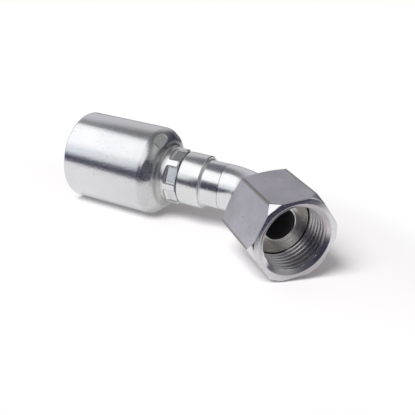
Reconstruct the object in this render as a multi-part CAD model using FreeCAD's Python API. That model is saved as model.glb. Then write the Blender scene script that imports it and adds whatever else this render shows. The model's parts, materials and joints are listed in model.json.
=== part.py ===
"""Crimp hose fitting: staked shell, barbed stem, 45 degree tube and swivel nut over a flat seat.

Millimetres, +Z up. The shell's axis runs along +X from its open end, and the tube bends
towards -Y. The nut's sizes are given along its own axis, measured from the end of the bend.
"""
import math
import os

import FreeCAD
import Part

# Flow path
BORE_D = 12.1
TUBE_D = 18.7
TUBE_WALL = 3.0

# Crimp shell
SHELL_D = 36.6
SHELL_WALL = 3.2
SHELL_STRAIGHT = 34.4
RIM_ROUND = 0.9
CAVITY_PAST_STRAIGHT = 2.1
CAVITY_BEVEL = 1.5
TOOTH_COUNT = 6
TOOTH_MARGIN = 5.0
TOOTH_LAND = 1.5
TOOTH_HEIGHT = 1.1
SHOULDER_CONVEX = 6.0
SHOULDER_CONCAVE = 1.6
SHOULDER_ANGLE = 78.0

# Neck and its stakes
NECK_WALL = 2.7
NECK_LENGTH = 6.1
NECK_EDGE = 0.4
STAKE_COUNT = 7
STAKE_PHASE = 18.6
STAKE_WIDTH = 7.4
STAKE_DEPTH = 1.2
STAKE_LENGTH = 5.1
STAKE_RAMP = 1.2
LOCK_DEPTH = 0.8
LOCK_WIDTH = 3.0
LOCK_SETBACK = 1.8

# Hose stem
SEAT_WALL = 2.75
TAIL_RECESS = 1.5
BARB_CREST_D = 16.8
BARB_HEIGHT = 0.7
BARB_COUNT = 7
BARB_MARGIN = 2.7
COLLAR_WALL = 1.5
COLLAR_LENGTH = 9.4
COLLAR_EDGE = 0.35
SPLIT_WIDTH = 0.5
SPLIT_DEPTH = 0.7
SOCKET_DEPTH = 6.0
BRAZE_LEG = 0.7

# Bend
STRAIGHT_RUN = 7.8
BEND_RADIUS = 21.7
BEND_ANGLE = 45.0

# Seal sleeve
FACE_AT = 20.1
SLEEVE_WALL = 2.27
SLEEVE_LENGTH = 8.0
SLEEVE_LIP = 3.0
SLEEVE_BEVEL = 0.9
SLEEVE_EDGE = 0.3
BORE_EDGE = 0.4
SLEEVE_CLEARANCE = 0.1

# Swivel nut
NUT_WALL = 2.3
NUT_BACK_WALL = 5.35
MOUTH_DEPTH = 12.35
FRONT_CORNER_CUT = 1.55
FRONT_CHAMFER_ANGLE = 57.0
REAR_CORNER_CUT = 2.62
REAR_CHAMFER_ANGLE = 30.0
NUT_TURN = 8.0
THREAD_PITCH = 1.814
THREAD_START = 0.1
MOUTH_FLARE = 0.8
MOUTH_FLARE_ANGLE = 30.0
RELIEF_FLARE = 0.1
RUNNING_CLEARANCE = 0.08
SHOULDER_CLEARANCE = 0.15
HOLE_EDGE = 0.5

X_AXIS = FreeCAD.Vector(1, 0, 0)
ORIGIN = FreeCAD.Vector(0, 0, 0)

# Radii and places that follow from the sizes above
BORE_R = BORE_D / 2
TUBE_R = TUBE_D / 2
SHELL_R = SHELL_D / 2
CAVITY_R = SHELL_R - SHELL_WALL
SEAT_R = BORE_R + SEAT_WALL
NECK_R = SEAT_R + NECK_WALL
STEEP = math.radians(90 - SHOULDER_ANGLE)
SHOULDER_DROP = SHELL_R - NECK_R
SHOULDER_R = min(SHOULDER_CONVEX, SHOULDER_DROP / (1 - math.sin(STEEP)) - SHOULDER_CONCAVE)
FLANK_DROP = SHOULDER_DROP - (SHOULDER_R + SHOULDER_CONCAVE) * (1 - math.sin(STEEP))
SHOULDER_REACH = (SHOULDER_R + SHOULDER_CONCAVE) * math.cos(STEEP) + FLANK_DROP * math.tan(STEEP)
SHOULDER_END = SHELL_STRAIGHT + SHOULDER_REACH
SHELL_END = SHOULDER_END + NECK_LENGTH
CAVITY_DEPTH = SHELL_STRAIGHT + CAVITY_PAST_STRAIGHT
CAVITY_FLOOR = CAVITY_DEPTH - CAVITY_BEVEL
COLLAR_START = SHELL_END + SPLIT_WIDTH
COLLAR_END = COLLAR_START + COLLAR_LENGTH
COLLAR_R = TUBE_R + COLLAR_WALL
BEND_START = COLLAR_END + STRAIGHT_RUN
SLEEVE_R = TUBE_R + SLEEVE_WALL
SLEEVE_BACK = FACE_AT - SLEEVE_LENGTH
THREAD_MINOR_R = SLEEVE_R + SLEEVE_CLEARANCE
THREAD_R = THREAD_MINOR_R + 0.541 * THREAD_PITCH
NUT_FLATS = 2 * (THREAD_R + NUT_WALL)
NUT_SHOULDER = SLEEVE_BACK - SHOULDER_CLEARANCE
NUT_REAR = NUT_SHOULDER - NUT_BACK_WALL
NUT_FRONT = FACE_AT + MOUTH_DEPTH


def point(x, r):
    """A point of a turned profile, at x along the axis and r from it."""
    return FreeCAD.Vector(x, 0, r)


def line(start, end):
    """A straight edge of a turned profile."""
    return Part.makeLine(point(*start), point(*end))


def arc(start, middle, end):
    """A circular edge of a turned profile through three points."""
    return Part.Arc(point(*start), point(*middle), point(*end)).toShape()


def turn_edges(edges):
    """Revolves a closed run of profile edges about the X axis."""
    face = Part.Face(Part.Wire(edges))
    return face.revolve(ORIGIN, X_AXIS, 360)


def turn(points):
    """Revolves a closed polygon of (x, r) points about the X axis."""
    return turn_edges([line(a, b) for a, b in zip(points, points[1:] + points[:1])])


def cylinder(radius, start, end):
    """A solid cylinder about the X axis."""
    return Part.makeCylinder(radius, end - start, FreeCAD.Vector(start, 0, 0), X_AXIS)


def on_arc(centre, radius, degrees):
    """The (x, r) point of a circle at an angle from +X towards the outside."""
    angle = math.radians(degrees)
    return centre[0] + radius * math.cos(angle), centre[1] + radius * math.sin(angle)


def shoulder_edges():
    """The outer profile from the shell's straight part down to the end of the neck."""
    steep = math.degrees(STEEP)
    convex = (SHELL_STRAIGHT, SHELL_R - SHOULDER_R)
    concave = (SHOULDER_END, NECK_R + SHOULDER_CONCAVE)
    top = on_arc(convex, SHOULDER_R, 90)
    knee = on_arc(convex, SHOULDER_R, steep)
    foot = on_arc(concave, SHOULDER_CONCAVE, 180 + steep)
    base = on_arc(concave, SHOULDER_CONCAVE, 270)
    flank = [line(knee, foot)] if FLANK_DROP > 0 else []
    return [
        arc(top, on_arc(convex, SHOULDER_R, (90 + steep) / 2), knee),
        *flank,
        arc(foot, on_arc(concave, SHOULDER_CONCAVE, (450 + steep) / 2), base),
        line(base, (SHELL_END - NECK_EDGE, NECK_R)),
        line((SHELL_END - NECK_EDGE, NECK_R), (SHELL_END, NECK_R - NECK_EDGE)),
    ]


def shell_blank():
    """The shell's outside as a solid, with a rounded rim at the open end."""
    rim = (RIM_ROUND, SHELL_R - RIM_ROUND)
    edges = [
        line((0, 0), (0, rim[1])),
        arc((0, rim[1]), on_arc(rim, RIM_ROUND, 135), (rim[0], SHELL_R)),
        line((rim[0], SHELL_R), (SHELL_STRAIGHT, SHELL_R)),
    ]
    edges += shoulder_edges()
    edges.append(line((SHELL_END, NECK_R - NECK_EDGE), (SHELL_END, 0)))
    edges.append(line((SHELL_END, 0), (0, 0)))
    return turn_edges(edges)


def cavity():
    """The space for the hose wall, bevelled at its mouth and at its bottom."""
    return turn([
        (0, 0),
        (0, CAVITY_R + RIM_ROUND / 2),
        (RIM_ROUND / 2, CAVITY_R),
        (CAVITY_FLOOR, CAVITY_R),
        (CAVITY_DEPTH, CAVITY_R - CAVITY_BEVEL),
        (CAVITY_DEPTH, 0),
    ])


def shell_tooth(middle):
    """One gripping ring on the inside of the shell."""
    foot = TOOTH_LAND / 2 + TOOTH_HEIGHT
    crest = CAVITY_R - TOOTH_HEIGHT
    root = CAVITY_R + SHELL_WALL / 2
    return turn([
        (middle - foot, root),
        (middle - foot, CAVITY_R),
        (middle - TOOTH_LAND / 2, crest),
        (middle + TOOTH_LAND / 2, crest),
        (middle + foot, CAVITY_R),
        (middle + foot, root),
    ])


def lock_ring(outer):
    """The ring of neck metal that fills the stem's groove, out to the given radius."""
    end = SHELL_END - LOCK_SETBACK
    ring = cylinder(outer, end - LOCK_WIDTH, end)
    return ring.cut(cylinder(SEAT_R - LOCK_DEPTH, end - LOCK_WIDTH, end))


def stake(index):
    """The pocket that one stake leaves in the neck, with a ramp at its inner end and no outer end."""
    start = SHELL_END - STAKE_LENGTH
    end = SHELL_END + STAKE_DEPTH
    floor = NECK_R - STAKE_DEPTH
    clear = NECK_R + STAKE_DEPTH
    corners = [(start + STAKE_RAMP, floor), (end, floor), (end, clear), (start - STAKE_RAMP, clear)]
    edges = [line(a, b) for a, b in zip(corners, corners[1:] + corners[:1])]
    pocket = Part.Face(Part.Wire(edges)).extrude(FreeCAD.Vector(0, STAKE_WIDTH, 0))
    pocket.translate(FreeCAD.Vector(0, -STAKE_WIDTH / 2, 0))
    pocket.rotate(ORIGIN, X_AXIS, STAKE_PHASE + 360 / STAKE_COUNT * index)
    return pocket


def crimp_shell():
    """The thick-walled cup with gripping rings and a staked neck."""
    shell = shell_blank().cut(cavity())
    pitch = (CAVITY_FLOOR - 2 * TOOTH_MARGIN) / (TOOTH_COUNT - 1)
    shell = shell.fuse([shell_tooth(TOOTH_MARGIN + pitch * i) for i in range(TOOTH_COUNT)])
    shell = shell.cut(cylinder(SEAT_R, CAVITY_FLOOR, SHELL_END))
    shell = shell.fuse(lock_ring((SEAT_R + NECK_R - STAKE_DEPTH) / 2))
    return shell.cut([stake(i) for i in range(STAKE_COUNT)])


def barb_points():
    """The tail's saw-tooth profile from its free end to its last barb."""
    crest = BARB_CREST_D / 2
    root = crest - BARB_HEIGHT
    pitch = (CAVITY_FLOOR - BARB_MARGIN - TAIL_RECESS) / BARB_COUNT
    points = [(TAIL_RECESS, root)]
    for index in range(BARB_COUNT):
        peak = TAIL_RECESS + pitch * (index + 1)
        points.append((peak - BARB_HEIGHT, crest))
        points.append((peak, root))
    return points


def hose_stem():
    """The barbed tail, the grooved seat in the neck and the collar that takes the tube."""
    split_r = COLLAR_R - SPLIT_DEPTH
    points = [(TAIL_RECESS, BORE_R)] + barb_points()
    points += [
        (CAVITY_FLOOR, BARB_CREST_D / 2 - BARB_HEIGHT),
        (CAVITY_DEPTH, SEAT_R),
        (SHELL_END, SEAT_R),
        (SHELL_END, split_r),
        (COLLAR_START, split_r),
        (COLLAR_START, COLLAR_R - COLLAR_EDGE),
        (COLLAR_START + COLLAR_EDGE, COLLAR_R),
        (COLLAR_END - COLLAR_EDGE, COLLAR_R),
        (COLLAR_END, COLLAR_R - COLLAR_EDGE),
        (COLLAR_END, TUBE_R),
        (COLLAR_END - SOCKET_DEPTH, TUBE_R),
        (COLLAR_END - SOCKET_DEPTH, BORE_R),
    ]
    return turn(points).cut(lock_ring(SEAT_R))


def collar_braze():
    """The braze bead between the collar's end face and the tube."""
    reach = min(BRAZE_LEG, COLLAR_WALL - COLLAR_EDGE)
    middle = reach * (1 - math.sqrt(0.5))
    tip = (COLLAR_END, TUBE_R + reach)
    toe = (COLLAR_END + reach, TUBE_R)
    heel = (COLLAR_END, TUBE_R)
    hollow = arc(tip, (COLLAR_END + middle, TUBE_R + middle), toe)
    return turn_edges([line(heel, tip), hollow, line(toe, heel)])


def tube_ring():
    """The tube's cross-section as a face across the X axis, at the origin."""
    rings = [Part.Wire(Part.makeCircle(r, ORIGIN, X_AXIS)) for r in (TUBE_R, TUBE_R - TUBE_WALL)]
    return Part.Face(rings[0]).cut(Part.Face(rings[1])).Faces[0]


def in_nozzle_frame(shape):
    """Moves a shape built along X from the bend's end to its place after the bend."""
    angle = math.radians(BEND_ANGLE)
    placed = shape.copy()
    placed.rotate(ORIGIN, FreeCAD.Vector(0, 0, 1), -BEND_ANGLE)
    run = BEND_START + BEND_RADIUS * math.sin(angle)
    placed.translate(FreeCAD.Vector(run, -BEND_RADIUS * (1 - math.cos(angle)), 0))
    return placed


def bent_tube():
    """The tube from the collar's socket through the bend into the seal sleeve."""
    start = COLLAR_END - SOCKET_DEPTH
    ring = tube_ring()
    ring.translate(FreeCAD.Vector(start, 0, 0))
    first = ring.extrude(FreeCAD.Vector(BEND_START - start, 0, 0))
    ring.translate(FreeCAD.Vector(BEND_START - start, 0, 0))
    centre = FreeCAD.Vector(BEND_START, -BEND_RADIUS, 0)
    bend = ring.revolve(centre, FreeCAD.Vector(0, 0, -1), BEND_ANGLE)
    last = tube_ring().extrude(FreeCAD.Vector(FACE_AT - SLEEVE_LIP, 0, 0))
    return first.fuse([bend, in_nozzle_frame(last)])


def seal_sleeve():
    """The flat-faced head on the tube's end that the nut pulls against its mate."""
    return in_nozzle_frame(turn([
        (SLEEVE_BACK, TUBE_R),
        (SLEEVE_BACK, SLEEVE_R - SLEEVE_BEVEL),
        (SLEEVE_BACK + SLEEVE_BEVEL, SLEEVE_R),
        (FACE_AT - SLEEVE_EDGE, SLEEVE_R),
        (FACE_AT, SLEEVE_R - SLEEVE_EDGE),
        (FACE_AT, BORE_R + BORE_EDGE),
        (FACE_AT - BORE_EDGE, BORE_R),
        (FACE_AT - SLEEVE_LIP, BORE_R),
        (FACE_AT - SLEEVE_LIP, TUBE_R),
    ]))


def nut_blank():
    """A hexagonal bar chamfered at both ends."""
    corner = NUT_FLATS / math.sqrt(3)
    front_run = FRONT_CORNER_CUT * math.tan(math.radians(FRONT_CHAMFER_ANGLE))
    rear_run = REAR_CORNER_CUT * math.tan(math.radians(REAR_CHAMFER_ANGLE))
    cone = turn([
        (NUT_REAR, 0),
        (NUT_REAR, corner - REAR_CORNER_CUT),
        (NUT_REAR + rear_run, corner),
        (NUT_FRONT - front_run, corner),
        (NUT_FRONT, corner - FRONT_CORNER_CUT),
        (NUT_FRONT, 0),
    ])
    angles = [math.radians(30 + 60 * i) for i in range(7)]
    outline = [FreeCAD.Vector(NUT_REAR, -corner * math.sin(a), corner * math.cos(a)) for a in angles]
    bar = Part.Face(Part.makePolygon(outline)).extrude(FreeCAD.Vector(NUT_FRONT - NUT_REAR, 0, 0))
    return bar.common(cone)


def nut_hollow():
    """The nut's inside: running hole, relief over the sleeve, threaded bore and flared mouth."""
    hole = TUBE_R + RUNNING_CLEARANCE
    relief = THREAD_R + RELIEF_FLARE
    thread_end = FACE_AT + THREAD_START
    mouth = THREAD_R + MOUTH_FLARE
    flare_run = (mouth - THREAD_MINOR_R) * math.tan(math.radians(MOUTH_FLARE_ANGLE))
    return turn([
        (NUT_REAR, 0),
        (NUT_REAR, hole + HOLE_EDGE),
        (NUT_REAR + HOLE_EDGE, hole),
        (NUT_SHOULDER, hole),
        (NUT_SHOULDER, relief),
        (thread_end - (relief - THREAD_MINOR_R), relief),
        (thread_end, THREAD_MINOR_R),
        (NUT_FRONT - flare_run, THREAD_MINOR_R),
        (NUT_FRONT, mouth),
        (NUT_FRONT, 0),
    ])


def swivel_nut():
    """The hexagonal nut that turns on the tube behind the seal sleeve."""
    nut = nut_blank().cut(nut_hollow())
    nut.rotate(ORIGIN, X_AXIS, NUT_TURN)
    return in_nozzle_frame(nut)


def rest_roll(nut):
    """The roll about the shell's axis that brings the nut down to the shell's lowest line."""
    low = 0.0
    high = 30.0
    while high - low > 1e-5:
        middle = (low + high) / 2
        rolled = nut.copy()
        rolled.rotate(ORIGIN, X_AXIS, middle)
        if rolled.optimalBoundingBox(False, False).ZMin > -SHELL_R:
            low = middle
        else:
            high = middle
    return low


def lie_down(shapes):
    """Rolls the fitting to its resting attitude, over the origin and on the ground plane."""
    roll = rest_roll(shapes["swivel_nut"])
    for shape in shapes.values():
        shape.rotate(ORIGIN, X_AXIS, roll)
    box = Part.makeCompound(list(shapes.values())).optimalBoundingBox(False, False)
    shift = FreeCAD.Vector(-box.Center.x, -box.Center.y, -box.ZMin)
    for shape in shapes.values():
        shape.translate(shift)
    print("roll", round(roll, 3), "shift", [round(v, 3) for v in shift])


def main():
    """Builds every piece and writes one file for each."""
    shapes = {
        "crimp_shell": crimp_shell(),
        "hose_stem": hose_stem(),
        "collar_braze": collar_braze(),
        "bent_tube": bent_tube(),
        "seal_sleeve": seal_sleeve(),
        "swivel_nut": swivel_nut(),
    }
    lie_down(shapes)
    os.makedirs("parts", exist_ok=True)
    for name, shape in shapes.items():
        solid = shape.Solids[0] if len(shape.Solids) == 1 else shape
        print(name, solid.isValid(), len(shape.Solids), len(shape.Faces), round(shape.Volume, 1))
        solid.exportStep(f"parts/{name}.step")


main()
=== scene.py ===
"""Dresses the crimp hose fitting and lights it as in a small studio.

Each piece is remade finely over its solid and plated. Sizes are in millimetres. A piece is drawn
straight, along the path that the fluid takes, as rows of (along, radius) points. Geometry Nodes turn
the rows about the path, bend them with the tube and lay them in the row frame, in metres.
"""

from __future__ import annotations

import json
import logging
import math
from dataclasses import dataclass, field
from enum import Enum
from typing import Any, Callable, Iterable, NamedTuple, Sequence, Union

import bmesh
import bpy
from mathutils import Matrix, Vector

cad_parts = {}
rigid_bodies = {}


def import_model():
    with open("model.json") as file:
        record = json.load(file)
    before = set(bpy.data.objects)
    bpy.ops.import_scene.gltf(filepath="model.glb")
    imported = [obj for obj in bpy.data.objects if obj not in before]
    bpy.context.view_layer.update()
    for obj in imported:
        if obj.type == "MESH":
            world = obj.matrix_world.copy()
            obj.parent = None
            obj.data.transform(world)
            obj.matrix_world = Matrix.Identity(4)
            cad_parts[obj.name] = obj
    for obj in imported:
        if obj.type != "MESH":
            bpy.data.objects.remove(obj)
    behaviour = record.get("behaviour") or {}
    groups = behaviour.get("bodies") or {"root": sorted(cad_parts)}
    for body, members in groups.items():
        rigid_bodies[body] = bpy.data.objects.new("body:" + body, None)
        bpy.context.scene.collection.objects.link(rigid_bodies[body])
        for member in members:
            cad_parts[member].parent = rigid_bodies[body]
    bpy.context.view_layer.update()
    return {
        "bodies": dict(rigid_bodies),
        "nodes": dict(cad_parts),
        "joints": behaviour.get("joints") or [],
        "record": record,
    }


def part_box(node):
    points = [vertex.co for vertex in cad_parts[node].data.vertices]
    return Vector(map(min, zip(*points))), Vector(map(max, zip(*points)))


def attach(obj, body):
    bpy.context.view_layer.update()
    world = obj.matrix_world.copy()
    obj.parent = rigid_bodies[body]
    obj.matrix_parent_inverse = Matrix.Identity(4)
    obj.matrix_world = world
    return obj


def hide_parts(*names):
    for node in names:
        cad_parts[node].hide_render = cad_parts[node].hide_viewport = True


LOG = logging.getLogger("fitting")
MM = 0.001

Point = tuple[float, float]
Colour = tuple[float, float, float]
Value = Union[float, int, "Sock"]
Inputs = dict[str, "Sock"]


# Node trees


def maths(operation: str, swapped: bool = False) -> Callable[..., Sock]:
    """Makes a method that adds a Math node.

    Args:
        operation: The node's operation.
        swapped: True if the method's own socket comes last.

    Returns:
        The method, which takes the node's other operands.
    """

    def method(sock: Sock, *others: Value) -> Sock:
        """Adds the node."""
        return sock.math(operation, *((*others, sock) if swapped else (sock, *others)))

    return method


@dataclass(frozen=True)
class Sock:
    """An output socket on which plain arithmetic adds Math nodes."""

    graph: Graph
    out: bpy.types.NodeSocket

    __add__ = __radd__ = maths("ADD")
    __sub__ = maths("SUBTRACT")
    __rsub__ = maths("SUBTRACT", swapped=True)
    __mul__ = __rmul__ = maths("MULTIPLY")
    __truediv__ = maths("DIVIDE")
    __rtruediv__ = maths("DIVIDE", swapped=True)
    __abs__ = maths("ABSOLUTE")
    # 1 where self is less than the other, and 0 elsewhere.
    __lt__ = maths("LESS_THAN")
    least, most = maths("MINIMUM"), maths("MAXIMUM")
    # The larger of the two, rounded where they come within a reach of each other.
    soft_most = maths("SMOOTH_MAX")
    floor, fract = maths("FLOOR"), maths("FRACT")
    sin, cos = maths("SINE"), maths("COSINE")

    def __neg__(self) -> Sock:
        """Minus self."""
        return self * -1.0

    def math(self, operation: str, *operands: Value) -> Sock:
        """A Math node on the given operands."""
        return self.graph.make("ShaderNodeMath", dict(enumerate(operands)), operation=operation)

    def root(self) -> Sock:
        """The square root, with negative values taken as 0."""
        return self.math("SQRT", self.most(0.0))

    def smooth(self, start: Value, end: Value) -> Sock:
        """Rises smoothly from 0 at start to 1 at end."""
        sockets = {"Value": self, "From Min": start, "From Max": end}
        return self.graph.make("ShaderNodeMapRange", sockets, interpolation_type="SMOOTHSTEP")

    def also(self, name: str) -> Sock:
        """Another output of the same node."""
        return Sock(self.graph, self.out.node.outputs[name])


@dataclass(frozen=True)
class Graph:
    """A node tree that is being written."""

    tree: bpy.types.NodeTree

    @classmethod
    def cleared(cls, owner: bpy.types.Material | bpy.types.World) -> Graph:
        """Empties the tree of a new material or world.

        Args:
            owner: The material or world.

        Returns:
            Its tree, ready to be written.
        """
        owner.use_nodes = True
        owner.node_tree.nodes.clear()
        return cls(owner.node_tree)

    def make(
        self, kind: str, sockets: dict[str | int, Any] | None = None, output: int | str = 0, **settings: Any
    ) -> Sock:
        """Adds a node of any type.

        Args:
            kind: The node's type.
            sockets: A value or a link for each input, by name or number. A colour has no alpha.
            output: The output to return, by name or number.
            settings: Its properties, which are set first. "stops" fills a colour ramp.

        Returns:
            The wrapped output.
        """
        node = self.tree.nodes.new(kind)
        for name, value in settings.items():
            if name == "stops":
                self._fill_ramp(node.color_ramp, value)
            else:
                setattr(node, name, value)
        for key, value in (sockets or {}).items():
            socket = node.inputs[key]
            if isinstance(value, Sock):
                self.tree.links.new(value.out, socket)
            else:
                socket.default_value = (*value, 1.0) if socket.type == "RGBA" else value
        return Sock(self, node.outputs[output] if len(node.outputs) else None)

    @staticmethod
    def _fill_ramp(ramp: bpy.types.ColorRamp, stops: Sequence[tuple[float, Colour]]) -> None:
        """Sets a colour ramp's stops.

        Args:
            ramp: The ramp of a new node, which holds two stops.
            stops: The place and colour of each stop.
        """
        while len(ramp.elements) < len(stops):
            ramp.elements.new(1.0)
        for element, (place, colour) in zip(ramp.elements, stops):
            element.position = place
            element.color = (*colour, 1.0)

    def vector(self, operation: str, *operands: Any, output: str = "Vector") -> Sock:
        """A Vector Math node on the given operands."""
        return self.make("ShaderNodeVectorMath", dict(enumerate(operands)), output, operation=operation)

    def scaled(self, vector: Sock, factor: Value) -> Sock:
        """A colour or vector times a number."""
        return self.make("ShaderNodeVectorMath", {0: vector, "Scale": factor}, operation="SCALE")

    def xyz(self, x: Value, y: Value, z: Value) -> Sock:
        """A vector from its three parts."""
        return self.make("ShaderNodeCombineXYZ", {0: x, 1: y, 2: z})

    def parts(self, vector: Sock) -> tuple[Sock, Sock, Sock]:
        """The three parts of a vector."""
        x = self.make("ShaderNodeSeparateXYZ", {0: vector}, "X")
        return x, x.also("Y"), x.also("Z")

    def kept(self, name: str) -> Sock:
        """A number that the mesh keeps for each point."""
        return self.make("ShaderNodeAttribute", None, "Fac", attribute_name=name)

    def noise(self, place: Sock, waves: float, detail: float) -> Sock:
        """Noise from 0 to 1 with the given number of waves a millimetre."""
        return self.make("ShaderNodeTexNoise", {"Vector": place, "Scale": waves, "Detail": detail})

    def blend(self, share: Value, first: Any, second: Any) -> Sock:
        """A colour that goes from first to second with share."""
        return self.make("ShaderNodeMix", {0: share, 6: first, 7: second}, 2, data_type="RGBA")

    def light(self, colour: Any, strength: Value = 1.0) -> Sock:
        """An Emission shader."""
        return self.make("ShaderNodeEmission", {"Color": colour, "Strength": strength})

    def mixed(self, share: Value, first: Sock, second: Sock) -> Sock:
        """A Mix Shader that goes from first to second with share."""
        return self.make("ShaderNodeMixShader", {0: share, 1: first, 2: second})


def add_object(name: str, data: bpy.types.ID) -> bpy.types.Object:
    """Adds an object to the scene.

    Args:
        name: Its name.
        data: Its mesh, lamp or camera.

    Returns:
        The new object, at the origin.
    """
    made = bpy.data.objects.new(name, data)
    bpy.context.scene.collection.objects.link(made)
    return made


# Profiles


def arc(centre: Point, radius: float, start: float, end: float, count: int) -> list[Point]:
    """Points of a circular arc in a profile.

    Args:
        centre: The arc's centre, as (along, radius).
        radius: Its radius.
        start: The first point's angle in degrees, from the path's direction towards the outside.
        end: The last point's angle.
        count: The number of points.

    Returns:
        The points from start to end.
    """
    angles = [math.radians(start + (end - start) * i / (count - 1)) for i in range(count)]
    return [(centre[0] + radius * math.cos(a), centre[1] + radius * math.sin(a)) for a in angles]


def run(start: Point, end: Point, step: float) -> list[Point]:
    """Evenly spaced points of a straight stretch.

    Args:
        start: The first point.
        end: The last point.
        step: The most that two neighbours lie apart.

    Returns:
        The points, with both ends.
    """
    count = max(1, math.ceil(math.dist(start, end) / step))
    reach = (end[0] - start[0], end[1] - start[1])
    return [(start[0] + reach[0] * i / count, start[1] + reach[1] * i / count) for i in range(count + 1)]


ROUND_SEGMENTS = 3
ROUND_SHARE = 0.4
NEARLY_STRAIGHT = math.radians(160)
TINY = 1e-6


def soften(points: Sequence[Point], amount: float) -> list[Point]:
    """Rounds the sharp corners of a profile.

    Args:
        points: The profile's points.
        amount: How far from a corner its rounding starts, where both edges are long enough for it.

    Returns:
        The profile with a short curve at each corner of more than 20 degrees, and its ends as they were.
    """
    made = [points[0]]
    for before, corner, after in zip(points, points[1:], points[2:]):
        here = Vector(corner)
        back, ahead = Vector(before) - here, Vector(after) - here
        if min(back.length, ahead.length) < TINY or back.angle(ahead) > NEARLY_STRAIGHT:
            made.append(corner)
            continue
        first = here + back.normalized() * min(amount, ROUND_SHARE * back.length)
        last = here + ahead.normalized() * min(amount, ROUND_SHARE * ahead.length)
        for step in range(ROUND_SEGMENTS + 1):
            share = step / ROUND_SEGMENTS
            curve = first * (1 - share) ** 2 + here * 2 * share * (1 - share) + last * share**2
            made.append((curve.x, curve.y))
    return [*made, points[-1]]


# Where the fitting lies


@dataclass(frozen=True)
class Path:
    """The line that the fluid takes, with the sizes that every piece shares."""

    roll: float
    shift: Vector
    bore_d: float = 12.1
    tube_d: float = 18.7
    bend_radius: float = 21.7
    bend_degrees: float = 45.0
    bend_start: float = 65.8

    @classmethod
    def from_frame(cls, frame: dict[str, Any]) -> Path:
        """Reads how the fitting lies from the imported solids.


        Returns:
            The path, rolled as the nut's axis shows and with its start at the shell's open end.
        """
        axis = frame["joints"][0]["axis"]
        low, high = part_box("crimp_shell")
        middle = (low + high) / 2
        return cls(math.atan2(-axis[2], -axis[1]), Vector((low.x, middle.y, middle.z)) / MM)

    @property
    def bore_r(self) -> float:
        """The bore's radius."""
        return self.bore_d / 2

    @property
    def tube_r(self) -> float:
        """The tube's outer radius."""
        return self.tube_d / 2

    @property
    def bend_end(self) -> float:
        """Where the bend ends, along the path."""
        return self.bend_start + self.bend_radius * math.radians(self.bend_degrees)

    def sizes(self) -> dict[str, float]:
        """Names the sizes of the path for a tree.

        Returns:
            The named inputs that lay() reads, in millimetres and radians.
        """
        return {
            "Bend Start": self.bend_start,
            "Bend Radius": self.bend_radius,
            "Bend Angle": math.radians(self.bend_degrees),
            "Roll": self.roll,
            "Shift X": self.shift.x,
            "Shift Y": self.shift.y,
            "Shift Z": self.shift.z,
        }

    @staticmethod
    def lay(graph: Graph, size: Inputs, along: Sock, radius: Sock, angle: Sock) -> Sock:
        """Turns a point about the path, bends it with the tube and lays it in the row frame.

        Args:
            graph: The tree to write in.
            size: The sockets of the inputs that sizes() names.
            along: The point's place along the path.
            radius: Its distance from the path.
            angle: Its angle about the path, from the top towards the inside of the bend.

        Returns:
            The point in metres.
        """
        side = -radius * angle.sin()
        height = radius * angle.cos()
        bent = (along - size["Bend Start"]).most(0.0).least(size["Bend Radius"] * size["Bend Angle"])
        turned = bent / size["Bend Radius"]
        after = (along - size["Bend Start"] - bent).most(0.0)
        reach = size["Bend Radius"] + side
        x = along.least(size["Bend Start"]) + reach * turned.sin() + after * turned.cos()
        y = reach * turned.cos() - size["Bend Radius"] - after * turned.sin()
        roll_cos, roll_sin = size["Roll"].cos(), size["Roll"].sin()
        return graph.xyz(
            (x + size["Shift X"]) * MM,
            (y * roll_cos - height * roll_sin + size["Shift Y"]) * MM,
            (y * roll_sin + height * roll_cos + size["Shift Z"]) * MM,
        )


# Surfaces that follow a rule


MERGE = 1e-6
SIDES = 6.0
# Keeps a column that stands on a corner in the sixth that it starts.
NUDGE = 1e-4


class Spot(NamedTuple):
    """A grid point of a surface, while its tree is written.

    It holds the tree's inputs, the two values of its profile point and its share of a full turn.
    """

    size: Inputs
    first: Sock
    second: Sock
    turn: Sock


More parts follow.
